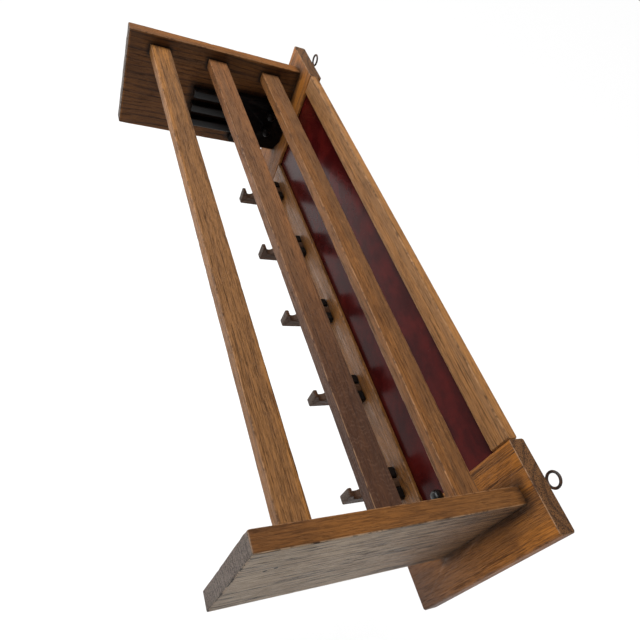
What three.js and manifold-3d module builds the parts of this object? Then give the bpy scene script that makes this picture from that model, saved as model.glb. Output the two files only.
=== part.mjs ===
// Oak wall coat and hat rack: two back boards and two rails frame a lacquered panel, two side
// brackets carry a hat shelf of three bars, and the lower rail carries five hooks with pegs.
// A black block with three ribs and two knobs sits in the corner of each bracket.
// Millimetres. The wall is the plane y = 0, the front is towards -Y, +Z is up.
// z = 0 is the line through the centres of the two hanging eyes, and x = 0 is the middle.
import * as THREE from 'three'
import { mergeVertices } from 'three/addons/utils/BufferGeometryUtils.js'
import Module from 'manifold-3d'

const wasm = await Module()
wasm.setup()

// ---- driving dimensions -------------------------------------------------------------------
const overallLength = 1000
const fitGap = 0.3

const stileWidth = 112
const stileHeight = 273
const stileThickness = 23
const stileTop = -6
const boardChamfer = 1.2
const panelChamfer = 0.6

const railThickness = 15
const topRailHeight = 32
const hookRailHeight = 84
const tenonLength = 30
const tenonThickness = 5
const tenonShoulder = 8

const panelThickness = 5
const panelRecess = 6
const panelHousing = 7

const bracketThickness = 22
const bracketHeight = 169
const bracketDepth = 315
const bracketDrop = 19
const bracketOffset = 54

const barNames = ['rear', 'middle', 'front']
const barWidth = 33.5
const barHeight = 16
const barDrop = 17
const barSpacing = 102.5
const barSetback = 57
const barTenonLength = 12
const barTenonInset = 4
const barChamfer = 1.5

const hookCount = 5
const hookPitch = 167.5
const hookWidth = 13.5
const hookReach = 80
const hookTipHeight = 28
const hookTipLength = 6
const hookRootHeight = 41
const hookBottomAboveRail = 18
const hookThroatRadius = 9
const hookThroatDepth = 12
const hookLipSlope = 2
const hookRootSlope = THREE.MathUtils.degToRad(50)
const hookCorner = 1.5
const hookChamfer = 0.9
const hookTenonHeight = 26
const hookTenonWidth = 9
const hookTenonOverlap = 3

const pegWidth = 17
const pegHeight = 14
const pegLength = 42
const pegChamfer = 2
const pegTenonRadius = 5
const pegTenonLength = 11
const pegSpread = 16.3
const pegBelowRailTop = 30.5

const ribCount = 3
const ribReach = 192.5
const ribHeight = 13.5
const ribPitch = 27
const ribDrop = 70.6
const ribChamfer = 1

const blockThickness = 18
const blockLength = 107
const blockHeight = 94
const blockDrop = 63
const blockCornerDepth = 12
const blockCornerHeight = 21

const knobRadius = 7.5
const knobReach = 39
const knobNeckRadius = 5
const knobHeadLength = 13
const knobDomeHeight = 4.5
const knobTenonRadius = 3.5
const knobTenonLength = 9
const knobSetback = 42
const knobDrops = [83, 116]

const eyeRadius = 9
const eyeWire = 1.75
const eyeShankLength = 13
const eyeSpikeLength = 14

const screwShankRadius = 2
const screwPointLength = 6
const screwHeadRadius = 4.5
const screwHeadRim = 0.8
const screwLength = 52
const screwDrops = [24, 84.5, 145]

const pegSegments = 20
const wireSegments = 8
const ringSegments = 26
const screwSegments = 12
const throatSegments = 10
const domeSteps = 3

// ---- places worked out from them ----------------------------------------------------------
const stileFront = -stileThickness
const stileCentreX = (overallLength - stileWidth) / 2
const stileInnerX = overallLength / 2 - stileWidth
const stileCentreZ = stileTop - stileHeight / 2
const railCentreY = stileFront + railThickness / 2
const topRailCentreZ = stileTop - topRailHeight / 2
const hookRailTop = stileTop - stileHeight + hookRailHeight
const hookRailCentreZ = hookRailTop - hookRailHeight / 2
const panelTop = stileTop - topRailHeight + panelHousing
const panelBottom = hookRailTop - panelHousing
const panelHeight = panelTop - panelBottom
const panelLength = 2 * (stileInnerX + panelHousing)
const panelCentreY = stileFront + panelRecess + panelThickness / 2
const panelCentreZ = (panelTop + panelBottom) / 2
const bracketCentreX = overallLength / 2 - bracketOffset
const bracketInnerX = bracketCentreX - bracketThickness / 2
const bracketTop = stileTop - bracketDrop
const bracketCentreZ = bracketTop - bracketHeight / 2
const bracketCentreY = stileFront - bracketDepth / 2
const barCentreZ = bracketTop - barDrop - barHeight / 2
const hookBottom = stileTop - stileHeight + hookBottomAboveRail
const pegCentreZ = hookRailTop - pegBelowRailTop
const knobCentreY = stileFront - knobSetback

// ---- materials ----------------------------------------------------------------------------
function makeMaterial(colour, roughness, metalness) {
  return new THREE.MeshStandardMaterial({ color: colour, roughness, metalness })
}

const oak = makeMaterial('#8a5a33', 0.45, 0)
const darkOak = makeMaterial('#4f3726', 0.5, 0)
const redLacquer = makeMaterial('#4a1114', 0.15, 0)
const ebonised = makeMaterial('#0d0b0b', 0.3, 0)
const iron = makeMaterial('#2c2825', 0.5, 0.8)
const steel = makeMaterial('#6d6a66', 0.4, 0.9)

// ---- solids -------------------------------------------------------------------------------
function solidOf(geometry) {
  const bare = new THREE.BufferGeometry()
  bare.setAttribute('position', geometry.getAttribute('position'))
  if (geometry.index) bare.setIndex(geometry.index)
  const merged = mergeVertices(bare, 1e-4)
  const vertProperties = new Float32Array(merged.getAttribute('position').array)
  const triVerts = new Uint32Array(merged.index.array)
  return new wasm.Manifold(new wasm.Mesh({ numProp: 3, vertProperties, triVerts }))
}

function geometryOf(solid) {
  const mesh = solid.getMesh()
  const geometry = new THREE.BufferGeometry()
  geometry.setAttribute('position', new THREE.BufferAttribute(mesh.vertProperties, 3))
  geometry.setIndex(new THREE.BufferAttribute(mesh.triVerts, 1))
  return geometry
}

function block(size, centre = [0, 0, 0]) {
  const geometry = new THREE.BoxGeometry(...size)
  geometry.translate(...centre)
  return solidOf(geometry)
}

// A board with every edge chamfered: size is its full width, depth and height.
function board(size, chamfer, centre = [0, 0, 0]) {
  const [width, depth, height] = size
  const x = width / 2 - chamfer
  const y = depth / 2 - chamfer
  const outline = new THREE.Shape()
  outline.moveTo(-x + chamfer, -y)
  outline.lineTo(x - chamfer, -y)
  outline.lineTo(x, -y + chamfer)
  outline.lineTo(x, y - chamfer)
  outline.lineTo(x - chamfer, y)
  outline.lineTo(-x + chamfer, y)
  outline.lineTo(-x, y - chamfer)
  outline.lineTo(-x, -y + chamfer)
  outline.closePath()
  const geometry = new THREE.ExtrudeGeometry(outline, {
    depth: height - 2 * chamfer,
    bevelEnabled: true,
    bevelThickness: chamfer,
    bevelSize: chamfer,
    bevelSegments: 1,
    steps: 1
  })
  geometry.translate(centre[0], centre[1], centre[2] - height / 2 + chamfer)
  return solidOf(geometry)
}

// A round bar along X, Y or Z.
function roundBar(radius, length, axis, centre, segments) {
  const geometry = new THREE.CylinderGeometry(radius, radius, length, segments)
  if (axis === 'x') geometry.rotateZ(Math.PI / 2)
  if (axis === 'z') geometry.rotateX(Math.PI / 2)
  geometry.translate(...centre)
  return solidOf(geometry)
}

// ---- frame --------------------------------------------------------------------------------
const tenonHeights = {
  top: topRailHeight - 2 * tenonShoulder,
  hook: hookRailHeight - 2 * tenonShoulder
}

function rail(height, tenonHeight, grooveAtTop) {
  const tenonSpan = 2 * (stileInnerX + tenonLength)
  const body = board([2 * stileInnerX - 2 * fitGap, railThickness, height], boardChamfer)
  const tenon = block([tenonSpan, tenonThickness, tenonHeight])
  const grooveDepth = panelHousing + fitGap
  const grooveWidth = panelThickness + 2 * fitGap
  const grooveZ = (grooveAtTop ? 1 : -1) * (height / 2 - grooveDepth / 2)
  const grooveY = panelCentreY - railCentreY
  const groove = block([overallLength, grooveWidth, grooveDepth + fitGap], [0, grooveY, grooveZ])
  return body.add(tenon).subtract(groove)
}

// Local x of a stile runs from the middle of the rack outwards for side = 1.
function stile(side) {
  let solid = board([stileWidth, stileThickness, stileHeight], boardChamfer)
  const innerX = -side * stileWidth / 2
  const railY = railCentreY + stileThickness / 2
  const rails = [
    { z: topRailCentreZ - stileCentreZ, height: tenonHeights.top },
    { z: hookRailCentreZ - stileCentreZ, height: tenonHeights.hook }
  ]
  for (const { z, height } of rails) {
    const size = [2 * (tenonLength + fitGap), tenonThickness + 2 * fitGap, height + 2 * fitGap]
    solid = solid.subtract(block(size, [innerX, railY, z]))
  }
  const grooveSize = [
    2 * (panelHousing + fitGap),
    panelThickness + 2 * fitGap,
    panelHeight + 2 * fitGap
  ]
  const grooveY = panelCentreY + stileThickness / 2
  solid = solid.subtract(block(grooveSize, [innerX, grooveY, panelCentreZ - stileCentreZ]))
  const screwX = side * (bracketCentreX - stileCentreX)
  for (const drop of screwDrops) {
    const z = bracketTop - drop - stileCentreZ
    solid = solid.subtract(bracketScrewSolid(fitGap).translate([screwX, stileThickness / 2, z]))
  }
  const spikeZ = -eyeRadius - eyeShankLength - stileCentreZ
  const spikeDepth = 2 * (eyeSpikeLength + fitGap)
  const spikePlace = [0, stileThickness / 2, spikeZ]
  return solid.subtract(
    roundBar(eyeWire + fitGap, spikeDepth, 'y', spikePlace, screwSegments))
}

// ---- fasteners ----------------------------------------------------------------------------
// A countersunk screw from the back of the stile into the bracket, head at y = 0, point to -Y.
function bracketScrewSolid(grow) {
  const head = screwHeadRadius + grow
  const shank = screwShankRadius + grow
  const length = screwLength + grow
  const top = grow > 0 ? grow : -fitGap
  const profile = [
    new THREE.Vector2(0, -length),
    new THREE.Vector2(shank, -length + screwPointLength),
    new THREE.Vector2(shank, -head),
    new THREE.Vector2(head, -screwHeadRim),
    new THREE.Vector2(head, top),
    new THREE.Vector2(0, top)
  ]
  return solidOf(new THREE.LatheGeometry(profile, screwSegments))
}

// ---- brackets and shelf -------------------------------------------------------------------
function barCentreY(index) {
  return stileFront - barSetback - barSpacing * index
}

function ribCentreZ(index) {
  return bracketTop - ribDrop - ribHeight / 2 - ribPitch * index
}

function bracket(side) {
  let solid = board([bracketThickness, bracketDepth - fitGap, bracketHeight], boardChamfer)
  const centreY = bracketCentreY - fitGap / 2
  const innerFace = -side * bracketThickness / 2
  const mortiseSize = [
    2 * (barTenonLength + fitGap),
    barWidth - 2 * barTenonInset + 2 * fitGap,
    barHeight - barTenonInset + 2 * fitGap
  ]
  barNames.forEach((name, index) => {
    const place = [innerFace, barCentreY(index) - centreY, barCentreZ - bracketCentreZ]
    solid = solid.subtract(block(mortiseSize, place))
  })
  for (const drop of screwDrops) {
    const hole = bracketScrewSolid(fitGap)
      .translate([0, -centreY, bracketTop - drop - bracketCentreZ])
    solid = solid.subtract(hole)
  }
  for (const drop of knobDrops) {
    const place = [innerFace, knobCentreY - centreY, bracketTop - drop - bracketCentreZ]
    solid = solid.subtract(knobHole(side).translate(place))
  }
  return solid
}

function shelfBar() {
  const bodyLength = 2 * (bracketInnerX - fitGap)
  const tenonSpan = 2 * (bracketInnerX + barTenonLength)
  const body = board([bodyLength, barWidth, barHeight], barChamfer)
  const tenon = block([tenonSpan, barWidth - 2 * barTenonInset, barHeight - barTenonInset])
  return body.add(tenon)
}

// ---- hooks and pegs -----------------------------------------------------------------------
// Side view of a hook: u runs outwards from the rail, v upwards from the flat underside.
function hookOutline() {
  const throatU = hookReach - hookTipLength - hookLipSlope - hookThroatRadius
  const throatV = hookTipHeight - hookThroatDepth + hookThroatRadius
  const rootU = throatU - hookThroatRadius * Math.sin(hookRootSlope)
  const rootV = throatV - hookThroatRadius * Math.cos(hookRootSlope)
  const rootTopU = rootU - (hookRootHeight - rootV) / Math.tan(hookRootSlope)
  const outline = new THREE.Shape()
  outline.moveTo(fitGap, 0)
  outline.lineTo(hookReach - hookCorner, 0)
  outline.lineTo(hookReach, hookCorner)
  outline.lineTo(hookReach, hookTipHeight - hookCorner)
  outline.lineTo(hookReach - hookCorner, hookTipHeight)
  outline.lineTo(hookReach - hookTipLength, hookTipHeight)
  outline.absarc(throatU, throatV, hookThroatRadius, 0, -Math.PI / 2 - hookRootSlope, true)
  outline.lineTo(rootTopU, hookRootHeight)
  outline.lineTo(fitGap, hookRootHeight)
  outline.closePath()
  return outline
}

function hookSolid() {
  const arm = new THREE.ExtrudeGeometry(hookOutline(), {
    depth: hookWidth - 2 * hookChamfer,
    bevelEnabled: true,
    bevelThickness: hookChamfer,
    bevelSize: hookChamfer,
    bevelOffset: -hookChamfer,
    bevelSegments: 1,
    curveSegments: throatSegments
  })
  arm.translate(0, 0, hookChamfer - hookWidth / 2)
  arm.rotateY(-Math.PI / 2)
  arm.rotateX(Math.PI / 2)
  return solidOf(arm)
}

// The tenon starts inside the arm and ends just short of the back of the rail.
function hookTenon(grow) {
  const length = railThickness - fitGap + hookTenonOverlap + 2 * grow
  const centreY = (railThickness - fitGap - hookTenonOverlap) / 2
  const size = [hookTenonWidth + 2 * grow, length, hookTenonHeight + 2 * grow]
  return block(size, [0, centreY, hookRootHeight / 2])
}

// A square black peg with softened edges, on a round tenon. Its origin is on the rail's front.
function pegSolid() {
  const bodyLength = pegLength - fitGap
  const body = board([pegWidth, bodyLength, pegHeight], pegChamfer, [0, -fitGap - bodyLength / 2, 0])
  const tenonSpan = pegTenonLength + pegLength / 2
  const tenonPlace = [0, pegTenonLength - tenonSpan / 2, 0]
  return body.add(roundBar(pegTenonRadius, tenonSpan, 'y', tenonPlace, pegSegments))
}

// ---- corner block, ribs and knobs ---------------------------------------------------------
// A rib's local origin is the middle of its back end, on the bracket's inner face.
function ribSolid(side) {
  const length = ribReach - blockLength - fitGap
  const size = [blockThickness, length, ribHeight]
  return board(size, ribChamfer, [-side * blockThickness / 2, -length / 2, 0])
}

// Hole for a knob's tenon, from the bracket's inner face outwards.
function knobHole(side) {
  const length = 2 * (knobTenonLength + fitGap)
  return roundBar(knobTenonRadius + fitGap, length, 'x', [0, 0, 0], pegSegments)
    .translate([side * fitGap, 0, 0])
}

// A block's local origin is its top corner against the stile and the bracket. Its lower corner
// by the stile is cut off.
function blockSolid(side) {
  const centre = [-side * blockThickness / 2, -blockLength / 2, -blockHeight / 2]
  const solid = board([blockThickness, blockLength, blockHeight], ribChamfer, centre)
  const corner = new THREE.Shape()
  corner.moveTo(0, -blockHeight + blockCornerHeight)
  corner.lineTo(-blockCornerDepth, -blockHeight)
  corner.lineTo(-blockCornerDepth, -blockHeight - blockCornerHeight)
  corner.lineTo(blockCornerDepth, -blockHeight - blockCornerHeight)
  corner.lineTo(blockCornerDepth, -blockHeight + blockCornerHeight)
  corner.closePath()
  const cutter = new THREE.ExtrudeGeometry(corner, { depth: 4 * blockThickness, bevelEnabled: false })
  cutter.translate(0, 0, -2 * blockThickness)
  cutter.rotateY(Math.PI / 2)
  cutter.rotateX(Math.PI / 2)
  let cut = solid.subtract(solidOf(cutter))
  for (const drop of knobDrops) {
    const place = [0, knobCentreY - stileFront + fitGap, blockDrop - drop]
    const hole = roundBar(knobTenonRadius + fitGap, 3 * blockThickness, 'x', place, pegSegments)
    cut = cut.subtract(hole)
  }
  return cut
}

// The points of a domed end's profile, from its rim to its top on the axis.
function domeProfile(radius, height, rimHeight) {
  const sphereRadius = (radius ** 2 + height ** 2) / (2 * height)
  const rimAngle = Math.asin(radius / sphereRadius)
  const points = []
  for (let step = 0; step <= domeSteps; step += 1) {
    const angle = rimAngle * (1 - step / domeSteps)
    const rise = height - sphereRadius * (1 - Math.cos(angle))
    points.push(new THREE.Vector2(sphereRadius * Math.sin(angle), rimHeight + rise))
  }
  return points
}

// A turned knob: tenon, neck standing on the block, head with a domed end, pointing inwards.
function knobSolid(side) {
  const neckStart = blockThickness + 2 * fitGap
  const headStart = knobReach - knobHeadLength
  const profile = [
    new THREE.Vector2(0, -knobTenonLength),
    new THREE.Vector2(knobTenonRadius, -knobTenonLength),
    new THREE.Vector2(knobTenonRadius, neckStart),
    new THREE.Vector2(knobNeckRadius, neckStart),
    new THREE.Vector2(knobNeckRadius, headStart),
    ...domeProfile(knobRadius, knobDomeHeight, knobReach - knobDomeHeight)
  ]
  const geometry = new THREE.LatheGeometry(profile, pegSegments)
  geometry.rotateZ(side * Math.PI / 2)
  return solidOf(geometry)
}

// ---- hanging eyes -------------------------------------------------------------------------
// A forged eye: a wire ring, a shank down the back of the stile and a spike driven into it.
function eyeSolid() {
  const ring = new THREE.TorusGeometry(eyeRadius, eyeWire, wireSegments, ringSegments)
  ring.rotateX(Math.PI / 2)
  const shankCentre = -eyeRadius - eyeShankLength / 2
  const shank = roundBar(eyeWire, eyeShankLength, 'z', [0, 0, shankCentre], screwSegments)
  const spikePlace = [0, -eyeSpikeLength / 2, -eyeRadius - eyeShankLength]
  const spike = roundBar(
    eyeWire, eyeSpikeLength + 2 * eyeWire, 'y', spikePlace, screwSegments)
  return solidOf(ring).add(shank).add(spike)
}

// ---- assembly -----------------------------------------------------------------------------
const rack = new THREE.Group()
rack.name = 'coat_rack'

function addPart(name, solid, material, position) {
  const mesh = new THREE.Mesh(geometryOf(solid), material)
  mesh.name = name
  mesh.position.set(...position)
  rack.add(mesh)
}

const sides = [
  { label: 'left', side: -1 },
  { label: 'right', side: 1 }
]

for (const { label, side } of sides) {
  const stilePlace = [side * stileCentreX, stileFront / 2, stileCentreZ]
  addPart(`stile_${label}`, stile(side), oak, stilePlace)
  const bracketPlace = [side * bracketCentreX, bracketCentreY - fitGap / 2, bracketCentreZ]
  addPart(`bracket_${label}`, bracket(side), oak, bracketPlace)
  screwDrops.forEach((drop, index) => {
    const place = [side * bracketCentreX, 0, bracketTop - drop]
    addPart(`bracket_screw_${label}_${index + 1}`, bracketScrewSolid(0), steel, place)
  })
  const eyePlace = [side * stileCentreX, eyeWire + fitGap, 0]
  addPart(`hanging_eye_${label}`, eyeSolid(), iron, eyePlace)

  const innerX = side * (bracketInnerX - fitGap)
  for (let index = 0; index < ribCount; index += 1) {
    const place = [innerX, stileFront - blockLength - 2 * fitGap, ribCentreZ(index)]
    addPart(`rib_${label}_${index + 1}`, ribSolid(side), ebonised, place)
  }
  const blockPlace = [innerX, stileFront - fitGap, bracketTop - blockDrop]
  addPart(`corner_block_${label}`, blockSolid(side), ebonised, blockPlace)
  knobDrops.forEach((drop, index) => {
    const place = [side * bracketInnerX, knobCentreY, bracketTop - drop]
    addPart(`corner_knob_${label}_${index + 1}`, knobSolid(side), ebonised, place)
  })
}

const topRail = rail(topRailHeight, tenonHeights.top, false)
addPart('top_rail', topRail, oak, [0, railCentreY, topRailCentreZ])

let hookRail = rail(hookRailHeight, tenonHeights.hook, true)
const hookLocalZ = hookBottom - hookRailCentreZ
const pegLocalZ = pegCentreZ - hookRailCentreZ
for (let index = 0; index < hookCount; index += 1) {
  const x = (index - (hookCount - 1) / 2) * hookPitch
  hookRail = hookRail.subtract(hookTenon(fitGap).translate([x, -railThickness / 2, hookLocalZ]))
  for (const { side } of sides) {
    const holeCentre = [x + side * pegSpread, -railThickness / 2, pegLocalZ]
    const depth = 2 * (pegTenonLength + fitGap)
    hookRail = hookRail.subtract(
      roundBar(pegTenonRadius + fitGap, depth, 'y', holeCentre, pegSegments))
  }
}
addPart('hook_rail', hookRail, oak, [0, railCentreY, hookRailCentreZ])

const panel = board([panelLength, panelThickness, panelHeight], panelChamfer)
addPart('back_panel', panel, redLacquer, [0, panelCentreY, panelCentreZ])

barNames.forEach((name, index) => {
  addPart(`shelf_bar_${name}`, shelfBar(), oak, [0, barCentreY(index), barCentreZ])
})

for (let index = 0; index < hookCount; index += 1) {
  const x = (index - (hookCount - 1) / 2) * hookPitch
  const hook = hookSolid().add(hookTenon(0))
  addPart(`hook_${index + 1}`, hook, darkOak, [x, stileFront, hookBottom])
  for (const { label, side } of sides) {
    const place = [x + side * pegSpread, stileFront, pegCentreZ]
    addPart(`peg_${index + 1}_${label}`, pegSolid(), ebonised, place)
  }
}

export default rack
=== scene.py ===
"""Looks for an oak wall coat and hat rack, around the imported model. Metres, +Z up, the front faces -Y."""

import math

import bpy
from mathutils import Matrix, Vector, noise


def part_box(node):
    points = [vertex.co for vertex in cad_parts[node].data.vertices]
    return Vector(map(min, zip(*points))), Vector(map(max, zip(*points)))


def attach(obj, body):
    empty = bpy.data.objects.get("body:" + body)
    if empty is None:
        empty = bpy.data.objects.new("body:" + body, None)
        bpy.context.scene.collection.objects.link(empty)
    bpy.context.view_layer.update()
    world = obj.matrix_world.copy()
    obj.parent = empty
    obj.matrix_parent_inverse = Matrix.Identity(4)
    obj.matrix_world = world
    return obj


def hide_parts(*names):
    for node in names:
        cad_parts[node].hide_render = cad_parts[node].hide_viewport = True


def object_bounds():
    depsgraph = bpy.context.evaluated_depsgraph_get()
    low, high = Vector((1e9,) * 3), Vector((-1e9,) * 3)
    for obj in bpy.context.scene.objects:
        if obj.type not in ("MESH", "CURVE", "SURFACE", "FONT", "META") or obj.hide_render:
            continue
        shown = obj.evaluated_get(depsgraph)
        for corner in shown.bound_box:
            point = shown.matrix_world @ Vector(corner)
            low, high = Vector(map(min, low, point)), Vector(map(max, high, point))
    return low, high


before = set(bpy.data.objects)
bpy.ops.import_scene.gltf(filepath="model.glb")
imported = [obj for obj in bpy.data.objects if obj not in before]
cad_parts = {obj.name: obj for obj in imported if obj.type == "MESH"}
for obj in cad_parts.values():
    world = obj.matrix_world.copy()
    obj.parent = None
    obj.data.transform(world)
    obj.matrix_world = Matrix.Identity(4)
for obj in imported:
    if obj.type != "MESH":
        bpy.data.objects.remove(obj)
cad_low, cad_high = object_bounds()

MM = 0.001

# Camera, at the viewing angle of the reference.
CAMERA_PLACE = (0.5794, -0.4940, 0.3953)
CAMERA_TURN = (39.552, -21.279, 72.022)
CAMERA_LENS = 30.576
CAMERA_SHIFT = (0.0092, 0.0802)
SENSOR_WIDTH = 36
CLIP_START = 0.02

# Stage and lights.
FLOOR_DROP = 1.3
FLOOR_SIZE = 40.0
FLOOR_COLOUR = (0.96, 0.96, 0.96, 1)
FLOOR_ROUGHNESS = 0.9
WORLD_COLOUR = (1.0, 1.0, 1.0, 1.0)
WORLD_STRENGTH = 0.28
SUN_STRENGTH = 3.0
SUN_SPREAD = 50
SUN_FROM = (-0.35, -0.45, 0.82)
# Each softbox: its place, what it points at, its width and its power.
SOFTBOXES = {
    "side_softbox": ((-2.6, -2.2, 0.1), (0, -0.1, -0.15), 1.6, 30),
    "far_softbox": ((-0.80, -0.35, 1.1), (-0.35, -0.20, -0.04), 0.5, 6),
}

# Pieces that repeat.
SIDES = ("left", "right")
BARS = ("rear", "middle", "front")
HOOKS = range(1, 6)
RIBS = range(1, 4)
SCREWS = range(1, 4)
KNOBS = (1, 2)

# Seeds that keep the boards of a kind apart, in their figure and in their worn arrises.
FIGURE_SEEDS = {"bracket": 3.1, "bar": 7.7, "stile": 15.3, "rail": 21.9, "hook": 40.1}
SHAPE_SEEDS = {"bracket": 11.0, "bar": 31.0}

# Board grids: their step, and how closely and how far in they crowd near an arris.
GRID_STEP = 7 * MM
EDGE_STEP = 1.82 * MM
EDGE_OFFSETS = (0, 0.35, 0.8, 1.4, 2.4)

# Arrises: their rounding, how much it varies, and how fine and deep their dents and chips are.
ARRIS = 1.3 * MM
LEAST_ARRIS = 0.5 * MM
ARRIS_WEAR = 0.54 * MM
WEAR_SCALE = 38
DENT_SCALE = 120
DENT_LIMIT = 0.28
DENT_DEPTH = 3.4 * MM
CHIP_SCALE = 260

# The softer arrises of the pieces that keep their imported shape, and how they are made.
SOFT_ARRIS = 0.5 * MM
SOFT_BLACK_ARRIS = 0.4 * MM
SOFT_IRON_ARRIS = 0.3 * MM
SOFT_PANEL_ARRIS = 0.2 * MM
BEVEL_SEGMENTS = 2
BEVEL_ANGLE = 25
WELD_DISTANCE = 1e-6


# ---- shader helpers -------------------------------------------------------------------------
class Shader:
    """A material under construction, with short calls for the nodes that the surfaces share."""

    def __init__(self, name):
        self.material = bpy.data.materials.new(name)
        self.material.use_nodes = True
        self.tree = self.material.node_tree
        self.bsdf = self.tree.nodes["Principled BSDF"]
        self.coordinates = self.add("ShaderNodeTexCoord").outputs["Object"]

    def add(self, kind, **settings):
        node = self.tree.nodes.new(kind)
        for key, value in settings.items():
            setattr(node, key, value)
        return node

    def feed(self, socket, value):
        if isinstance(value, bpy.types.NodeSocket):
            self.tree.links.new(value, socket)
        else:
            socket.default_value = value

    def math(self, operation, *values, clamp=False):
        node = self.add("ShaderNodeMath", operation=operation, use_clamp=clamp)
        for socket, value in zip(node.inputs, values):
            self.feed(socket, value)
        return node.outputs[0]

    def smooth(self, value, low, high, to_low=0.0, to_high=1.0):
        node = self.add("ShaderNodeMapRange", interpolation_type="SMOOTHSTEP")
        for socket, given in zip(node.inputs, (value, low, high, to_low, to_high)):
            self.feed(socket, given)
        return node.outputs[0]

    def split(self, vector):
        node = self.add("ShaderNodeSeparateXYZ")
        self.feed(node.inputs[0], vector)
        return node.outputs

    def join(self, x, y, z):
        node = self.add("ShaderNodeCombineXYZ")
        for socket, value in zip(node.inputs, (x, y, z)):
            self.feed(socket, value)
        return node.outputs[0]

    def scaled(self, vector, factors, shift=(0, 0, 0)):
        node = self.add("ShaderNodeVectorMath", operation="MULTIPLY_ADD")
        for socket, value in zip(node.inputs, (vector, factors, shift)):
            self.feed(socket, value)
        return node.outputs[0]

    def noise(self, vector, detail=2.0, roughness=0.5):
        node = self.add("ShaderNodeTexNoise", noise_dimensions="3D")
        self.feed(node.inputs["Vector"], vector)
        self.feed(node.inputs["Scale"], 1.0)
        self.feed(node.inputs["Detail"], detail)
        self.feed(node.inputs["Roughness"], roughness)
        return node.outputs[0]

    def cells(self, vector):
        node = self.add("ShaderNodeTexVoronoi", feature="F1")
        self.feed(node.inputs["Vector"], vector)
        self.feed(node.inputs["Scale"], 1.0)
        return node.outputs["Distance"]

    def length(self, vector):
        node = self.add("ShaderNodeVectorMath", operation="LENGTH")
        self.feed(node.inputs[0], vector)
        return node.outputs["Value"]

    def mix(self, factor, first, second):
        node = self.add("ShaderNodeMix", data_type="RGBA")
        self.feed(node.inputs["Factor"], factor)
        self.feed(node.inputs[6], first)
        self.feed(node.inputs[7], second)
        return node.outputs[2]

    def bump(self, height, distance, strength=1.0):
        node = self.add("ShaderNodeBump")
        self.feed(node.inputs["Strength"], strength)
        self.feed(node.inputs["Distance"], distance)
        self.feed(node.inputs["Height"], height)
        return node.outputs["Normal"]

    def edge_distance(self, low, high):
        """How far a point on a box-shaped piece is from the nearest arris, in metres."""
        gaps = []
        for part, lowest, highest in zip(self.split(self.coordinates), low, high):
            offset = self.math("SUBTRACT", part, (lowest + highest) / 2)
            distance = self.math("SUBTRACT", (highest - lowest) / 2, self.math("ABSOLUTE", offset))
            gaps.append(distance)
        first, second, third = gaps
        least = self.math("MINIMUM", first, second)
        most = self.math("MAXIMUM", first, second)
        return self.math("MAXIMUM", least, self.math("MINIMUM", most, third))

    def surface(self, colour, roughness, normal=None):
        self.feed(self.bsdf.inputs["Base Color"], colour)
        self.feed(self.bsdf.inputs["Roughness"], roughness)
        if normal is not None:
            self.feed(self.bsdf.inputs["Normal"], normal)
        return self.material


def rgb(red, green, blue):
    return (red, green, blue, 1.0)


# ---- oak ------------------------------------------------------------------------------------
GRAIN_ORDER = {"x": (0, 1, 2), "y": (1, 0, 2), "z": (2, 0, 1)}

# How far a seed of one shifts the patterns.
OAK_SHIFT = (1.37, 2.11, 0.73)

# How fine each pattern is, per metre: along the grain, across it, and into the board.
RING_DRIFT_ACROSS = (3.0, 9.0, 9.0)
RING_DRIFT_DEEP = (2.2, 7.0, 7.0)
RAY_STROKES = (150, 700, 700)
RAY_ZONES = (16, 50, 50)
CURL_BEND = (40, 90, 90)
CURL_PATCHES = (90, 160, 160)
COARSE_PORES = (32, 900, 900)
FINE_PORES = (90, 1500, 1500)
FIBRES = (14, 640, 640)
VEINS = (4, 120, 120)
TONES = (4, 30, 30)
BANDS = (1.2, 48, 48)

# The same in the part's own directions, for what has happened to the board's surface and for the clouds of
# its painted sheen.
STAIN_PATCHES = (10, 10, 10)
RUB_PATCHES = (90, 90, 90)
END_DOTS = (700, 700, 700)
SHEEN_CLOUDS = (9, 5, 30)
CHECK_LINES = (30, 5, 480)
CHECK_SPLITS = (20, 4, 130)

# Rings: how unevenly they are spaced, and how often that changes.
RING_UNEVENNESS = 2.6
RING_CHANGE = 0.35

# Rays and curl: how they slant, and the curl's waves per metre and how much they bend.
RAY_SKEW = 0.8
RAY_LEAN = -0.30
CURL_WAVES = 1150
CURL_SWAY = 26

# How far each pattern moves the colour from dark to light, and where the colour starts.
TONE_WEIGHT = 0.9
FIBRE_WEIGHT = 3.4
YEAR_WEIGHT = 0.30
LEVEL_START = -1.36

# The shares of a vein, of fine pores and of grime, and the widths of a rubbed arris, paled by wear and by a
# painted highlight, and of a grimy arris.
VEIN_SHARE = 0.45
FINE_PORE_SHARE = 0.40
GRIME_SHARE = 0.6
RUBBED_HIGHLIGHT_WIDTH = (1.2 * MM, 0.4 * MM)
GRIME_WIDTH = (3.0 * MM, 0.6 * MM)
END_DEPTH = (1.3 * MM, 0.7 * MM)
FACE_DEPTH = (1.4 * MM, 0.6 * MM)
OAK_BUMP = 0.7 * MM

END_DOT_COLOUR = rgb(0.035, 0.018, 0.010)
# The colour of the shade painted round the places where pieces meet.
CORNER_SHADE = rgb(0.006, 0.003, 0.002)
MARK_DARK = rgb(0.012, 0.006, 0.004)

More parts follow.
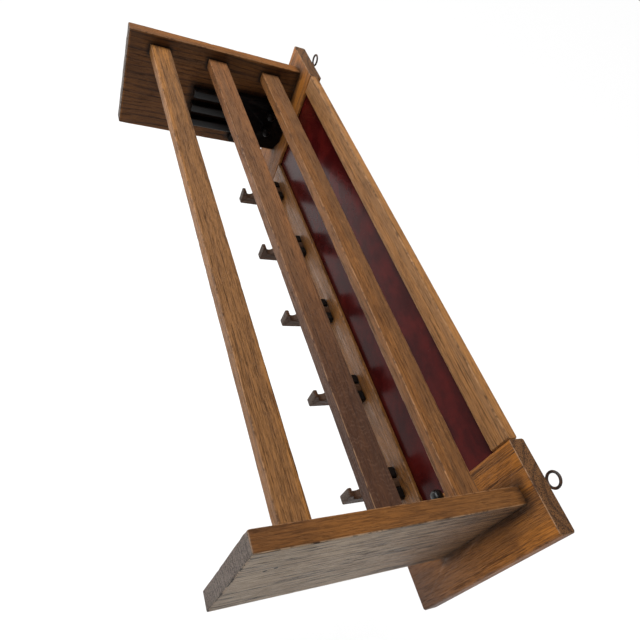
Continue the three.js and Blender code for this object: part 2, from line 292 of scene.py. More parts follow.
OAK = {
    "light": rgb(0.270, 0.100, 0.020),
    "dark": rgb(0.085, 0.029, 0.006),
    "grey": rgb(0.125, 0.062, 0.028),
    "pore": rgb(0.022, 0.008, 0.003),
    "ray": rgb(0.34, 0.160, 0.050),
    "dirt": rgb(0.040, 0.015, 0.006),
    # The colour of paler arrises: rubbed wear, and a painted highlight along them.
    "rubbed": rgb(0.42, 0.235, 0.115),
    "end": rgb(0.180, 0.080, 0.028),
    "ring": 0.0060,
    "ring_depth": 0.22,
    "pith": (0.045, -0.030),
    "wander": 0.010,
    "fleck": 0.45,
    "curl": 0.0,
    "band": 0.50,
    "pores": 0.55,
    "gloss": 0.40,
    "stain": 0.30,
    "rub": 0.42,
    "index": 1.30,
}


def growth_rings(shader, place, across, deep, box_middle, look, shift):
    """Slowly wandering circles round the pith, with uneven spacing."""
    other_shift = (shift[1], shift[2], shift[0])
    drift_a = shader.noise(shader.scaled(place, RING_DRIFT_ACROSS, shift))
    drift_b = shader.noise(shader.scaled(place, RING_DRIFT_DEEP, other_shift))
    reaches = []
    for part, middle, pith, drift in (
        (across, box_middle[1], look["pith"][0], drift_a),
        (deep, box_middle[2], look["pith"][1], drift_b),
    ):
        sway = shader.math("MULTIPLY_ADD", drift, 2 * look["wander"], -look["wander"])
        offset = shader.math("SUBTRACT", part, middle + pith)
        reaches.append(shader.math("POWER", shader.math("ADD", offset, sway), 2.0))
    radius = shader.math("SQRT", shader.math("ADD", *reaches))
    turns = shader.math("DIVIDE", radius, look["ring"])
    uneven = shader.noise(shader.join(shader.math("MULTIPLY", turns, RING_CHANGE), shift[0], 0.0))
    turns = shader.math("MULTIPLY_ADD", uneven, RING_UNEVENNESS, turns)
    ring = shader.math("FRACT", turns)
    early = shader.math("SUBTRACT", shader.smooth(ring, 0.0, 0.06), shader.smooth(ring, 0.10, 0.42))
    year = shader.noise(shader.join(turns, shift[1], 0.0), 1.0)
    return early, year


def ray_figure(shader, place, along, across, deep, look, shift):
    """Short pale strokes a little across the grain, and the close cross curl of some boards."""
    skew = shader.math("MULTIPLY_ADD", across, RAY_SKEW, along)
    lean = shader.math("MULTIPLY_ADD", along, RAY_LEAN, across)
    strokes = shader.noise(shader.scaled(shader.join(skew, lean, deep), RAY_STROKES, shift))
    zone = shader.smooth(shader.noise(shader.scaled(place, RAY_ZONES, shift), 1.0), 0.42, 0.62)
    rays = shader.math("MULTIPLY", shader.smooth(strokes, 0.56, 0.68), zone)
    bend = shader.noise(shader.scaled(place, CURL_BEND, shift))
    phase = shader.math("MULTIPLY_ADD", along, CURL_WAVES, shader.math("MULTIPLY", bend, CURL_SWAY))
    wave = shader.math("MULTIPLY_ADD", shader.math("SINE", phase), 0.5, 0.5)
    patch = shader.noise(shader.scaled(place, CURL_PATCHES, shift))
    curl = shader.math("MULTIPLY", shader.math("POWER", wave, 3.0), shader.smooth(patch, 0.42, 0.62))
    return rays, curl


def oak_pores(shader, place, early, shift):
    """Pores are dashes along the grain, densest in each ring's early wood."""
    coarse = shader.noise(shader.scaled(place, COARSE_PORES, shift), 2.0, 0.6)
    fine = shader.noise(shader.scaled(place, FINE_PORES, shift), 2.0, 0.6)
    crowding = shader.math("MULTIPLY_ADD", early, 0.55, 0.45)
    pores = shader.math("MULTIPLY", shader.smooth(coarse, 0.52, 0.62), crowding)
    fine_pores = shader.smooth(fine, 0.54, 0.66)
    return shader.math("MULTIPLY_ADD", fine_pores, FINE_PORE_SHARE, pores, clamp=True)


def oak_colour(shader, place, fibre, rings, look, shift):
    """The plain wood between its dark and its light colour, with grey bands across the board."""
    early, year = rings
    tone = shader.noise(shader.scaled(place, TONES, shift), 4.0, 0.6)
    level = shader.math("MULTIPLY_ADD", early, -look["ring_depth"], LEVEL_START)
    level = shader.math("MULTIPLY_ADD", tone, TONE_WEIGHT, level)
    level = shader.math("MULTIPLY_ADD", fibre, FIBRE_WEIGHT, level)
    level = shader.math("MULTIPLY_ADD", year, YEAR_WEIGHT, level, clamp=True)
    colour = shader.mix(level, look["dark"], look["light"])
    band = shader.noise(shader.scaled(place, BANDS, shift), 1.0)
    banded = shader.math("MULTIPLY", shader.smooth(band, 0.46, 0.60), look["band"])
    return shader.mix(banded, colour, look["grey"])


def oak_veins(shader, colour, place, look, shift):
    """Thin dark lines that follow the grain."""
    veins = shader.noise(shader.scaled(place, VEINS, shift), 3.0, 0.6)
    nearness = shader.math("ABSOLUTE", shader.math("SUBTRACT", veins, 0.5))
    vein = shader.smooth(nearness, 0.016, 0.003)
    return shader.mix(shader.math("MULTIPLY", vein, VEIN_SHARE), colour, look["dark"])


def darkened_end(shader, colour, along, curl, look):
    """A board that darkens towards one end, where any curl it has shows."""
    start, end, amount = look["dark_end"]
    reached = shader.smooth(along, start, end)
    # This only mixes in more of the look's dirt colour towards that end.
    colour = shader.mix(shader.math("MULTIPLY", reached, amount), colour, look["dirt"])
    curled = shader.math("MULTIPLY", curl, reached)
    return shader.mix(shader.math("MULTIPLY", curled, look["curl"]), colour, look["ray"])


def oak_wear(shader, colour, box, patches, rub, look):
    """Old wax and dirt in broad patches, and arrises that handling has rubbed paler or left grimy; the
    paler arrises are also a painted highlight.
    """
    stain = shader.math("MULTIPLY", shader.smooth(patches, 0.50, 0.70), look["stain"])
    colour = shader.mix(stain, colour, look["dirt"])
    edge = shader.edge_distance(*box)
    # Paler arrises: rubbed wear and a painted highlight.
    rubbed = shader.math("MULTIPLY", shader.smooth(edge, *RUBBED_HIGHLIGHT_WIDTH), shader.smooth(rub, 0.28, 0.50))
    colour = shader.mix(shader.math("MULTIPLY", rubbed, look["rub"]), colour, look["rubbed"])
    grime = shader.math("MULTIPLY", shader.smooth(edge, *GRIME_WIDTH), shader.smooth(rub, 0.52, 0.38))
    colour = shader.mix(shader.math("MULTIPLY", grime, GRIME_SHARE), colour, look["dirt"])
    for mark in look.get("marks", ()):
        colour = dark_mark(shader, colour, mark, rub)
    # Painted shade round each piece that meets the board.
    for corner in look.get("corners", ()):
        colour = painted_corner_shade(shader, colour, corner, rub)
    return colour


def oak(name, grain, box, seed, **changes):
    """Oak with its rings, pores, rays and stain set in the board's own grain direction."""
    look = {**OAK, **changes}
    shader = Shader(name)
    parts = shader.split(shader.coordinates)
    along, across, deep = (parts[index] for index in GRAIN_ORDER[grain])
    shift = tuple(seed * part for part in OAK_SHIFT)
    place = shader.join(along, across, deep)
    low, high = box
    middle = [(low[index] + high[index]) / 2 for index in GRAIN_ORDER[grain]]

    rings = growth_rings(shader, place, across, deep, middle, look, shift)
    rays, curl = ray_figure(shader, place, along, across, deep, look, shift)
    pores = oak_pores(shader, place, rings[0], shift)
    fibre = shader.noise(shader.scaled(place, FIBRES, shift), 4.0, 0.76)

    colour = oak_colour(shader, place, fibre, rings, look, shift)
    colour = shader.mix(shader.math("MULTIPLY", rays, look["fleck"]), colour, look["ray"])
    colour = oak_veins(shader, colour, place, look, shift)
    colour = shader.mix(shader.math("MULTIPLY", pores, look["pores"]), colour, look["pore"])
    if "dark_end" in look:
        colour = darkened_end(shader, colour, along, curl, look)
    colour = end_grain(shader, colour, along, grain, box, look["end"], rings[0])
    if "sheen_and_checked_face" in look:
        colour = sheen_and_checked_face(shader, colour, look["sheen_and_checked_face"], box, shift)
    patches = shader.noise(shader.scaled(shader.coordinates, STAIN_PATCHES, shift), 4.0, 0.65)
    rub = shader.noise(shader.scaled(shader.coordinates, RUB_PATCHES, shift), 4.0, 0.65)
    colour = oak_wear(shader, colour, box, patches, rub, look)

    roughness = shader.math("MULTIPLY_ADD", patches, 0.20, look["gloss"])
    roughness = shader.math("MULTIPLY_ADD", pores, 0.30, roughness)
    height = shader.math("MULTIPLY_ADD", pores, -0.8, shader.math("MULTIPLY", fibre, 0.5))
    height = shader.math("MULTIPLY_ADD", rub, 0.12, height)
    shader.bsdf.inputs["IOR"].default_value = look["index"]
    return shader.surface(colour, roughness, shader.bump(height, OAK_BUMP))


def end_grain(shader, colour, along, grain, box, end_colour, early):
    """Sawn ends soak up stain: darker and greyer, with open pores."""
    low, high = (corner[GRAIN_ORDER[grain][0]] for corner in box)
    offset = shader.math("ABSOLUTE", shader.math("SUBTRACT", along, (low + high) / 2))
    depth = shader.math("SUBTRACT", (high - low) / 2, offset)
    dots = shader.noise(shader.scaled(shader.coordinates, END_DOTS), 3.0, 0.6)
    dotted = shader.mix(shader.smooth(dots, 0.46, 0.62), end_colour, END_DOT_COLOUR)
    ringed = shader.mix(shader.math("MULTIPLY", early, 0.55), dotted, END_DOT_COLOUR)
    return shader.mix(shader.smooth(depth, *END_DEPTH), colour, ringed)


def sheen_and_checked_face(shader, colour, face, box, shift):
    """One outer face with a painted grey sheen, strongest towards its front end, and dark checks that run
    along Y.
    """
    face_x, pale, check, amount = face
    low, high = box
    x, y, _ = shader.split(shader.coordinates)
    away = shader.math("ABSOLUTE", shader.math("SUBTRACT", x, face_x))
    on_face = shader.smooth(away, *FACE_DEPTH)
    depth = high.y - low.y
    forward = shader.smooth(y, high.y - 0.10 * depth, high.y - 0.62 * depth, 0.25, 1.0)
    cloud = shader.noise(shader.scaled(shader.coordinates, SHEEN_CLOUDS, shift), 3.0, 0.6)
    lines = shader.noise(shader.scaled(shader.coordinates, CHECK_LINES, shift), 3.0, 0.7)
    split = shader.noise(shader.scaled(shader.coordinates, CHECK_SPLITS, shift), 3.0, 0.6)
    offset = shader.math("ABSOLUTE", shader.math("SUBTRACT", split, 0.5))
    clouded = shader.math("MULTIPLY_ADD", cloud, 0.5, 0.45, clamp=True)
    strength = shader.math("MULTIPLY", clouded, forward)
    # Painted sheen: the face greys in clouds, more towards its front end.
    aged = shader.mix(strength, colour, pale)
    fine_checks = shader.math("MULTIPLY", shader.smooth(lines, 0.54, 0.60), 0.7)
    checks = shader.math("MAXIMUM", fine_checks, shader.smooth(offset, 0.024, 0.006))
    aged = shader.mix(shader.math("MULTIPLY", checks, amount), aged, check)
    return shader.mix(on_face, colour, aged)


def painted_corner_shade(shader, colour, corner, rub):
    """Painted shade that fades out round the place where another piece meets a board."""
    low, high, reach, amount = corner
    beyond = []
    for part, lowest, highest in zip(shader.split(shader.coordinates), low, high):
        offset = shader.math("ABSOLUTE", shader.math("SUBTRACT", part, (lowest + highest) / 2))
        outside = shader.math("SUBTRACT", offset, (highest - lowest) / 2)
        beyond.append(shader.math("MAXIMUM", outside, 0.0))
    ragged = shader.math("MULTIPLY_ADD", rub, 0.3 * reach, shader.length(shader.join(*beyond)))
    dark = shader.math("MULTIPLY", shader.smooth(ragged, 1.15 * reach, 0.15 * reach), amount)
    return shader.mix(dark, colour, CORNER_SHADE)


def dark_mark(shader, colour, mark, rub):
    """A nail hole or a dented arris: dark within a reach of a point, or of a line along Z."""
    centre, reach, whole_height = mark
    height = 0 if whole_height else 1
    unevenness, limit = (2.0 * reach, 1.6 * reach) if whole_height else (0.0, reach)
    away = (-centre[0], -centre[1], -centre[2] * height)
    distance = shader.length(shader.scaled(shader.coordinates, (1, 1, height), away))
    ragged = shader.math("MULTIPLY_ADD", rub, unevenness, distance)
    return shader.mix(shader.smooth(ragged, limit * 1.15, limit * 0.85), colour, MARK_DARK)


# ---- other materials ------------------------------------------------------------------------
LACQUER_DEEP = rgb(0.026, 0.0020, 0.0020)
LACQUER_BRIGHT = rgb(0.068, 0.0052, 0.0040)
LACQUER_BRUSHED = rgb(0.055, 0.004, 0.004)
LACQUER_DUST = rgb(0.22, 0.16, 0.14)
LACQUER_INDEX = 1.18
LACQUER_BUMP = 0.05 * MM
EBONY_DARK = rgb(0.0022, 0.0018, 0.0018)
EBONY_LIGHT = rgb(0.0065, 0.0045, 0.0042)
EBONY_WORN = rgb(0.028, 0.012, 0.008)
EBONY_INDEX = 1.28
EBONY_BUMP = 0.15 * MM
EBONY_SHIFT = (1.9, 0.7, 2.3)
IRON = rgb(0.040, 0.034, 0.031)
IRON_RUST = rgb(0.095, 0.043, 0.022)
IRON_METALLIC = 0.6
IRON_BUMP = 0.3 * MM
STEEL = rgb(0.42, 0.40, 0.37)
STEEL_DULL = rgb(0.16, 0.12, 0.09)
STEEL_METALLIC = 0.9
STEEL_BUMP = 0.05 * MM


def red_lacquer():
    """Deep red gloss over a grained board, with brush lines, dust and a mottled undercoat."""
    shader = Shader("red_lacquer_gloss")
    place = shader.coordinates
    mottle = shader.noise(shader.scaled(place, (22, 22, 30)), 4.0, 0.6)
    brush = shader.noise(shader.scaled(place, (9, 300, 340)), 3.0, 0.6)
    colour = shader.mix(shader.smooth(mottle, 0.35, 0.70), LACQUER_DEEP, LACQUER_BRIGHT)
    colour = shader.mix(shader.math("MULTIPLY", brush, 0.35), colour, LACQUER_BRUSHED)
    specks = shader.smooth(shader.cells(shader.scaled(place, (160, 160, 160))), 0.10, 0.05)
    rare = shader.smooth(shader.noise(shader.scaled(place, (60, 60, 60)), 1.0), 0.55, 0.65)
    dust = shader.math("MULTIPLY", specks, rare)
    colour = shader.mix(shader.math("MULTIPLY", dust, 0.10), colour, LACQUER_DUST)
    roughness = shader.math("MULTIPLY_ADD", mottle, 0.12, 0.18)
    roughness = shader.math("MULTIPLY_ADD", dust, 0.25, roughness)
    peel = shader.noise(shader.scaled(place, (130, 130, 130)))
    height = shader.math("MULTIPLY_ADD", brush, 0.25, peel)
    shader.bsdf.inputs["IOR"].default_value = LACQUER_INDEX
    return shader.surface(colour, roughness, shader.bump(height, LACQUER_BUMP, 0.3))


def ebonised(name, seed, index=EBONY_INDEX):
    """Black stained wood under polish, with its grain in relief, and brown where it is rubbed."""
    shader = Shader(name)
    shift = tuple(seed * part for part in EBONY_SHIFT)
    grain = shader.noise(shader.scaled(shader.coordinates, (260, 40, 420), shift), 3.0, 0.6)
    patch = shader.noise(shader.scaled(shader.coordinates, (45, 45, 45), shift), 3.0, 0.6)
    colour = shader.mix(shader.smooth(grain, 0.4, 0.7), EBONY_DARK, EBONY_LIGHT)
    worn = shader.math("MULTIPLY", shader.smooth(patch, 0.62, 0.76), 0.4)
    colour = shader.mix(worn, colour, EBONY_WORN)
    roughness = shader.math("MULTIPLY_ADD", patch, 0.24, 0.20)
    shader.bsdf.inputs["IOR"].default_value = index
    return shader.surface(colour, roughness, shader.bump(grain, EBONY_BUMP, 0.6))


def forged_iron():
    """Old forged iron: hammered, nearly black, with patches of brown rust."""
    shader = Shader("forged_iron")
    place = shader.coordinates
    hammer = shader.noise(shader.scaled(place, (420, 420, 420)), 3.0, 0.6)
    rust = shader.noise(shader.scaled(place, (190, 190, 190), (4.1, 0.3, 2.2)), 4.0, 0.7)
    amount = shader.smooth(rust, 0.46, 0.64)
    colour = shader.mix(amount, IRON, IRON_RUST)
    roughness = shader.math("MULTIPLY_ADD", amount, 0.35, 0.42)
    shader.bsdf.inputs["Metallic"].default_value = IRON_METALLIC
    return shader.surface(colour, roughness, shader.bump(hammer, IRON_BUMP, 0.7))


def screw_steel():
    """An old screw's steel, fine-grained, with dull patches."""
    shader = Shader("screw_steel")
    place = shader.coordinates
    patch = shader.noise(shader.scaled(place, (500, 500, 500)), 3.0, 0.6)
    fine = shader.noise(shader.scaled(place, (2600, 2600, 2600)), 2.0, 0.6)
    amount = shader.smooth(patch, 0.42, 0.62)
    colour = shader.mix(amount, STEEL, STEEL_DULL)
    roughness = shader.math("MULTIPLY_ADD", amount, 0.30, 0.30)
    shader.bsdf.inputs["Metallic"].default_value = STEEL_METALLIC
    return shader.surface(colour, roughness, shader.bump(fine, STEEL_BUMP, 0.6))


# ---- geometry -------------------------------------------------------------------------------
def node_box(name):
    low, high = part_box(name)
    return Vector(low), Vector(high)


def new_piece(name, vertices, faces, material, body="root"):
    mesh = bpy.data.meshes.new(name)
    mesh.from_pydata([tuple(vertex) for vertex in vertices], [], faces)
    mesh.update()
    for polygon in mesh.polygons:
        polygon.use_smooth = True
    mesh.materials.append(material)
    piece = bpy.data.objects.new(name, mesh)
    bpy.context.scene.collection.objects.link(piece)
    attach(piece, body)
    return piece


def grid_line(low, high):
    """Coordinates along one side of a board, crowded near both arrises."""
    near = [low + offset * EDGE_STEP for offset in EDGE_OFFSETS]
    far = [high - offset * EDGE_STEP for offset in reversed(EDGE_OFFSETS)]
    span = far[0] - near[-1]
    steps = max(1, round(span / GRID_STEP))
    middle = [near[-1] + span * step / steps for step in range(1, steps)]
    return near + middle + far


def arris_radius(point, seed, chips, arris):
    """The rounding at a place on a worn board: soft variation, small dents and the given chips."""
    soft = noise.noise(Vector(point) * WEAR_SCALE + Vector((seed, 0, seed * 2)))
    rough = noise.noise(Vector(point) * DENT_SCALE + Vector((0, seed * 3, seed)))
    radius = arris + ARRIS_WEAR * soft + DENT_DEPTH * max(0.0, rough - DENT_LIMIT)
    for centre, reach, size in chips:
        closeness = max(0.0, 1 - (Vector(point) - Vector(centre)).length / reach)
        grain = 0.5 + 0.5 * noise.noise(Vector(point) * CHIP_SCALE + Vector((seed, seed, 0)))
        radius += size * closeness * grain
    return max(LEAST_ARRIS, radius)


def rounded(point, low, high, radius):
    """Where a point on a box's surface lies once the box is rounded there."""
    inner = Vector(
        min(max(part, lowest + radius), highest - radius)
        for part, lowest, highest in zip(point, low, high)
    )
    return inner + (Vector(point) - inner).normalized() * radius


def worn_board(name, low, high, seed, material, chips=(), arris=ARRIS):
    """A solid board with softly rounded, unevenly worn arrises, built as one grid-faced box."""
    lines = [grid_line(lowest, highest) for lowest, highest in zip(low, high)]
    counts = [len(line) for line in lines]
    vertices, index_of, faces = [], {}, []

    def vertex(i, j, k):
        key = (i, j, k)
        if key not in index_of:
            point = (lines[0][i], lines[1][j], lines[2][k])
            index_of[key] = len(vertices)
            vertices.append(rounded(point, low, high, arris_radius(point, seed, chips, arris)))
        return index_of[key]

    for axis in range(3):
        first, second = (axis + 1) % 3, (axis + 2) % 3
        for end in (0, counts[axis] - 1):
            for a in range(counts[first] - 1):
                for b in range(counts[second] - 1):
                    corners = []
                    for da, db in ((0, 0), (1, 0), (1, 1), (0, 1)):
                        place = [0, 0, 0]
                        place[axis], place[first], place[second] = end, a + da, b + db
                        corners.append(vertex(*place))
                    faces.append(corners if end else corners[::-1])
    return new_piece(name, vertices, faces, material)


def turned(name, profile, place, material):
    """A lathe form: profile holds (radius, height) pairs, and place turns its points into the part's."""
    vertices, faces, rings = [], [], []
    for radius, height in profile:
        ring = []
        count = TURNED_SIDES if radius > 0 else 1
        for side in range(count):
            angle = 2 * math.pi * side / TURNED_SIDES
            ring.append(len(vertices))
            vertices.append(place(radius * math.cos(angle), radius * math.sin(angle), height))
        rings.append(ring)
    for lower, upper in zip(rings, rings[1:]):
        for side in range(TURNED_SIDES):
            follow = (side + 1) % TURNED_SIDES
            corners = [lower[side % len(lower)], lower[follow % len(lower)],
                       upper[follow % len(upper)], upper[side % len(upper)]]
            face = list(dict.fromkeys(corners))
            if len(face) > 2:
                faces.append(face)
    return new_piece(name, vertices, faces, material)


def soften(node, width):
    """Rounds a CAD node's arrises with modifiers, leaving its mesh as it is."""
    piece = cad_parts[node]
    weld = piece.modifiers.new("weld", "WELD")
    weld.merge_threshold = WELD_DISTANCE
    bevel = piece.modifiers.new("soft_arris", "BEVEL")
    bevel.width = width
    bevel.segments = BEVEL_SEGMENTS
    bevel.limit_method = "ANGLE"
    bevel.angle_limit = math.radians(BEVEL_ANGLE)
    bevel.harden_normals = True
    for polygon in piece.data.polygons:
        polygon.use_smooth = True


def wear(node, material):
    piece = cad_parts[node]
    piece.data.materials.clear()
    piece.data.materials.append(material)


# ---- boards ---------------------------------------------------------------------------------
BRACKET_LOOK = {
    "wander": 0.016, "pith": (0.030, -0.110), "ring": 0.0065, "fleck": 0.20, "band": 0.30,
    "ring_depth": 0.34, "end": rgb(0.135, 0.100, 0.078),
}
BRACKET_LOOKS = {
    "left": {**BRACKET_LOOK, "ring": 0.0095, "ring_depth": 0.70, "wander": 0.040},
    "right": {
        **BRACKET_LOOK, "light": rgb(0.205, 0.078, 0.017), "dark_end": (-0.24, -0.33, 0.40),
    },
}
# Stiles: a strong rub pales their arrises, which is wear and a painted highlight.
STILE_LOOK = {
    "wander": 0.030, "pith": (0.015, 0.065), "ring": 0.0140, "fleck": 0.15, "ring_depth": 0.32,
    "light": rgb(0.350, 0.125, 0.018), "grey": rgb(0.150, 0.068, 0.026), "rub": 0.9, "band": 0.35,
    "dark_end": (-0.15, -0.27, 0.66), "dirt": rgb(0.046, 0.019, 0.010),
}
RAIL_LOOKS = {
    "top_rail": {
        "light": rgb(0.400, 0.180, 0.055), "dark": rgb(0.130, 0.052, 0.014),
        "grey": rgb(0.24, 0.13, 0.06), "pith": (0.03, 0.09),
    },
    "hook_rail": {
        "light": rgb(0.270, 0.105, 0.022), "dark": rgb(0.090, 0.032, 0.006),
        "grey": rgb(0.15, 0.066, 0.020), "pith": (0.03, 0.09), "gloss": 0.20, "index": 1.34,
    },
}
BAR_LOOKS = {
    "rear": {"pith": (0.05, 0.02), "light": rgb(0.235, 0.095, 0.026)},
    "middle": {
        "pith": (-0.06, 0.00), "light": rgb(0.240, 0.098, 0.032), "curl": 0.42, "fleck": 0.15,
        "dark_end": (-0.05, 0.36, 0.82), "dirt": rgb(0.040, 0.016, 0.010),
        "ray": rgb(0.13, 0.068, 0.042),
    },
    "front": {"pith": (0.04, 0.05), "light": rgb(0.355, 0.150, 0.035)},
}
# The grey of the painted sheen on a bracket's outer face, then the colour and strength of its checks.
PAINTED_SHEEN_GREY = rgb(0.460, 0.360, 0.250)
AGED_CHECK = rgb(0.016, 0.009, 0.005)
CHECK_AMOUNTS = {"left": 0.45, "right": 0.95}
# How far the two nail holes in the right bracket lie behind its front end and below its top.
NAIL_HOLES = ((28.3 * MM, 55.0 * MM), (38.2 * MM, 52.4 * MM))
NAIL_REACH = 2.2 * MM
# The chipped arris at each bracket's front: where its chips are on its height, and their size.
CHIP_PLACES = (0.12, 0.42, 0.70, 0.93)
CHIP_REACH = 16 * MM
CHIP_DEPTH = 5 * MM
CHIPPED_REACH = 1.5 * MM
# How far painted shade reaches from each piece that meets a board, and how dark it is.
SHADE_AT_BAR = (9 * MM, 0.85)
SHADE_AT_BLOCK = (13 * MM, 0.80)
SHADE_AT_STILE = (14 * MM, 0.60)
SHADE_AT_BRACKET = (16 * MM, 0.65)
# The shade painted over the left bracket's inner face, which stops a border short of its edges.
SHADE_ON_INNER_FACE = (2 * MM, 0.45)
FACE_BORDER = 4 * MM


def bracket_shaded_corners(side):
    """Where painted shade darkens a bracket: round what meets it, and over the left one's inner face."""
    corners = [(*node_box(f"shelf_bar_{name}"), *SHADE_AT_BAR) for name in BARS]
    rib_low, rib_high = node_box(f"rib_{side}_3")[0], node_box(f"rib_{side}_1")[1]
    corners.append((rib_low, rib_high, *SHADE_AT_BLOCK))
    corners.append((*node_box(f"corner_block_{side}"), *SHADE_AT_BLOCK))
    corners.append((*node_box(f"stile_{side}"), *SHADE_AT_STILE))
    # The left bracket's inner face gets painted shade all over.
    if side == "left":
        low, high = node_box("bracket_left")
        border = Vector((0, FACE_BORDER, FACE_BORDER))
        corners.append((Vector((high.x, low.y, low.z)) + border, high - border, *SHADE_ON_INNER_FACE))
    return corners


def bracket_marks(side, outer, low, high):
    """The dark chipped arris at the front, and the right bracket's two nail holes."""
    marks = [((outer, low.y, low.z), CHIPPED_REACH, True)]
    if side == "right":
        marks += [((outer, low.y + back, high.z - drop), NAIL_REACH, False) for back, drop in NAIL_HOLES]
    return marks


def make_brackets():
    for number, side in enumerate(SIDES):
        node = f"bracket_{side}"
        low, high = node_box(node)
        outer = high.x if side == "right" else low.x
        look = {
            **BRACKET_LOOKS[side],
            "marks": bracket_marks(side, outer, low, high),
            "corners": bracket_shaded_corners(side),
            # A painted grey sheen and dark checks on the outer face.
            "sheen_and_checked_face": (outer, PAINTED_SHEEN_GREY, AGED_CHECK, CHECK_AMOUNTS[side]),
        }
        material = oak(f"oak_{node}", "y", (low, high), FIGURE_SEEDS["bracket"] + number, **look)
        chips = [
            ((outer, low.y, low.z + (high.z - low.z) * part), CHIP_REACH, CHIP_DEPTH)
            for part in CHIP_PLACES
        ]
        seed = SHAPE_SEEDS["bracket"] + number * 7
        piece = worn_board(f"{node}_worn", low, high, seed, material, chips)
        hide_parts(node)


def make_bars():
    for number, name in enumerate(BARS):
        node = f"shelf_bar_{name}"
        low, high = node_box(node)
        low.x = node_box("bracket_left")[1].x
        high.x = node_box("bracket_right")[0].x
        seed = FIGURE_SEEDS["bar"] + number * 2
        material = oak(f"oak_{node}", "x", (low, high), seed, **BAR_LOOKS[name])
        piece = worn_board(f"{node}_worn", low, high, SHAPE_SEEDS["bar"] + number * 5, material)
        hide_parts(node)


def dress_frame():
    for number, side in enumerate(SIDES):
        node = f"stile_{side}"
        soften(node, SOFT_ARRIS)
        # Painted shade on the stile, round where its bracket meets it.
        corners = [(*node_box(f"bracket_{side}"), *SHADE_AT_BRACKET)]
        seed = FIGURE_SEEDS["stile"] + number
        wear(node, oak(f"oak_{node}", "z", node_box(node), seed, corners=corners, **STILE_LOOK))
    for number, node in enumerate(("top_rail", "hook_rail")):
        soften(node, SOFT_ARRIS)
        seed = FIGURE_SEEDS["rail"] + number
        wear(node, oak(f"oak_{node}", "x", node_box(node), seed, **RAIL_LOOKS[node]))
    soften("back_panel", SOFT_PANEL_ARRIS)
    wear("back_panel", red_lacquer())


# ---- hooks, pegs and corners ----------------------------------------------------------------
# Hooks: a dark oak, whose rubbed colour pales the arrises as wear and as a painted highlight.
HOOK_LOOK = {
    "light": rgb(0.085, 0.040, 0.020), "dark": rgb(0.028, 0.013, 0.007), "ring": 0.0026,
    "wander": 0.006, "fleck": 0.2, "ray": rgb(0.12, 0.06, 0.035), "rubbed": rgb(0.17, 0.09, 0.05),
    "grey": rgb(0.060, 0.034, 0.022), "end": rgb(0.090, 0.060, 0.043),
}
# Pegs: their rounding, and the gap that keeps it clear of the rail's face.
PEG_ARRIS = 2.4 * MM
PEG_GAP = 0.3 * MM
# Knobs: the neck's radius, the head's and its dome's lengths, and the roll at its shoulder.
KNOB_NECK = 5 * MM
KNOB_HEAD = 13 * MM
KNOB_DOME = 4.5 * MM
KNOB_SHOULDER = 1.2 * MM
DOME_STEPS = 10
TURNED_SIDES = 48
# The refractive indexes set how glossy the black looks, the left knobs' duller than the right ones' as
# painted shade, and the seeds keep the pieces apart.
KNOB_INDEXES_LIT_AND_SHADED = {"left": 1.16, "right": 1.45}
BLOCK_INDEX = 1.14
BLOCK_SEED = 9.1
RIB_SEED = 3.3
KNOB_SEED = 2.7


def make_hooks():
    for number in HOOKS:
        node = f"hook_{number}"
        soften(node, SOFT_ARRIS)
        wear(node, oak(f"oak_{node}", "y", node_box(node), FIGURE_SEEDS["hook"] + number, **HOOK_LOOK))
        for side in SIDES:
            make_peg(f"peg_{number}_{side}", number)


def make_peg(node, seed):
    low, high = node_box(node)
    high.y = node_box("hook_rail")[0].y - PEG_GAP
    material = ebonised(f"ebonised_{node}", seed)
    piece = worn_board(f"{node}_worn", low, high, seed, material, arris=PEG_ARRIS)
    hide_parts(node)


def knob_profile(reach, radius):
    """From the block outwards: a plain neck, a rolled shoulder and a domed head."""
    start = reach - KNOB_HEAD
    profile = [
        (0, 0),
        (KNOB_NECK, 0),
        (KNOB_NECK, start - KNOB_SHOULDER),
        (KNOB_NECK + KNOB_SHOULDER, start),
        (radius - KNOB_SHOULDER / 2, start),
        (radius, start + KNOB_SHOULDER),
    ]
    sphere = (radius ** 2 + KNOB_DOME ** 2) / (2 * KNOB_DOME)
    rim = math.asin(radius / sphere)
    for step in range(DOME_STEPS):
        angle = rim * (1 - step / DOME_STEPS)
        profile.append((sphere * math.sin(angle), reach - sphere * (1 - math.cos(angle))))
    return profile + [(0, reach)]


def make_knob(node, side, number):
    low, high = node_box(node)
    block_low, block_high = node_box(f"corner_block_{side}")
    inward = 1 if side == "left" else -1
    face = block_high.x if side == "left" else block_low.x
    tip = high.x if side == "left" else low.x
    centre = Vector((face, (low.y + high.y) / 2, (low.z + high.z) / 2))
    radius = (high.z - low.z) / 2

    def on_block(across, up, out):
        return centre + Vector((inward * out, inward * across, up))

    material = ebonised(f"ebonised_{node}", number * KNOB_SEED, KNOB_INDEXES_LIT_AND_SHADED[side])
    piece = turned(f"{node}_turned", knob_profile(abs(tip - face), radius), on_block, material)
    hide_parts(node)


def dress_corners():
    for side in SIDES:
        for number in RIBS:
            node = f"rib_{side}_{number}"
            soften(node, SOFT_BLACK_ARRIS)
            wear(node, ebonised(f"ebonised_{node}", number * RIB_SEED))
        node = f"corner_block_{side}"
        soften(node, SOFT_BLACK_ARRIS)
        wear(node, ebonised(f"ebonised_{node}", BLOCK_SEED, BLOCK_INDEX))
        for number in KNOBS:
            make_knob(f"corner_knob_{side}_{number}", side, number)


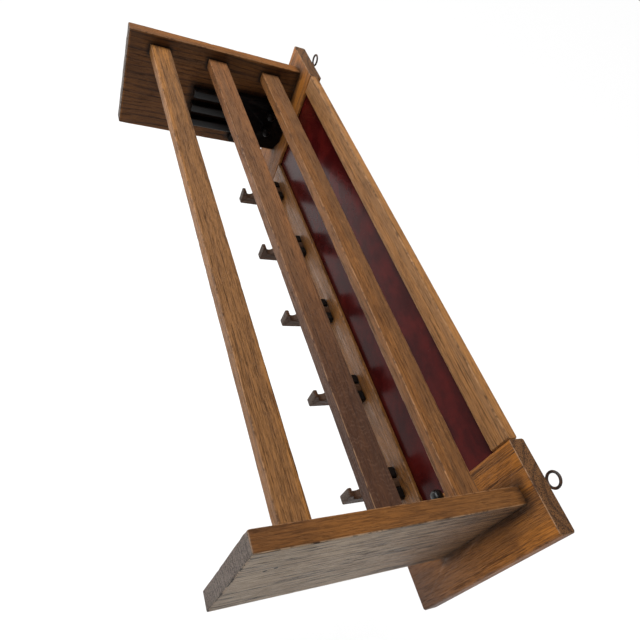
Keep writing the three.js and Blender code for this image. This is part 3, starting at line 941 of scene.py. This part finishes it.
# ---- iron and screws ------------------------------------------------------------------------
def dress_metal():
    iron = forged_iron()
    for side in SIDES:
        soften(f"hanging_eye_{side}", SOFT_IRON_ARRIS)
        wear(f"hanging_eye_{side}", iron)
    steel = screw_steel()
    for side in SIDES:
        for number in SCREWS:
            wear(f"bracket_screw_{side}_{number}", steel)


# ---- stage, lights and camera ---------------------------------------------------------------
def make_floor():
    bpy.ops.mesh.primitive_plane_add(size=FLOOR_SIZE, location=(0, 0, cad_low.z - FLOOR_DROP))
    floor = bpy.context.object
    floor.name = "floor"
    shader = Shader("pale_floor")
    floor.data.materials.append(shader.surface(FLOOR_COLOUR, FLOOR_ROUGHNESS))


def softbox(name, place, target, size, power):
    data = bpy.data.lights.new(name, "AREA")
    data.shape = "DISK"
    data.size = size
    data.energy = power
    light = bpy.data.objects.new(name, data)
    light.location = place
    light.rotation_euler = (Vector(target) - Vector(place)).to_track_quat("-Z", "Y").to_euler()
    bpy.context.scene.collection.objects.link(light)


def make_lights():
    world = bpy.data.worlds.new("studio")
    world.use_nodes = True
    background = world.node_tree.nodes["Background"]
    background.inputs["Color"].default_value = WORLD_COLOUR
    background.inputs["Strength"].default_value = WORLD_STRENGTH
    bpy.context.scene.world = world
    sun = bpy.data.lights.new("overhead", "SUN")
    sun.energy = SUN_STRENGTH
    sun.angle = math.radians(SUN_SPREAD)
    overhead = bpy.data.objects.new("overhead", sun)
    overhead.rotation_euler = Vector(SUN_FROM).to_track_quat("Z", "Y").to_euler()
    bpy.context.scene.collection.objects.link(overhead)
    for name, setting in SOFTBOXES.items():
        softbox(name, *setting)


def make_camera():
    data = bpy.data.cameras.new("camera")
    data.sensor_width = SENSOR_WIDTH
    data.lens = CAMERA_LENS
    data.shift_x, data.shift_y = CAMERA_SHIFT
    data.clip_start = CLIP_START
    camera = bpy.data.objects.new("camera", data)
    camera.location = CAMERA_PLACE
    camera.rotation_euler = [math.radians(angle) for angle in CAMERA_TURN]
    bpy.context.scene.collection.objects.link(camera)
    bpy.context.scene.camera = camera


bpy.context.scene.view_settings.view_transform = "Standard"
make_camera()
make_floor()
make_lights()
make_brackets()
make_bars()
dress_frame()
make_hooks()
dress_corners()
dress_metal()
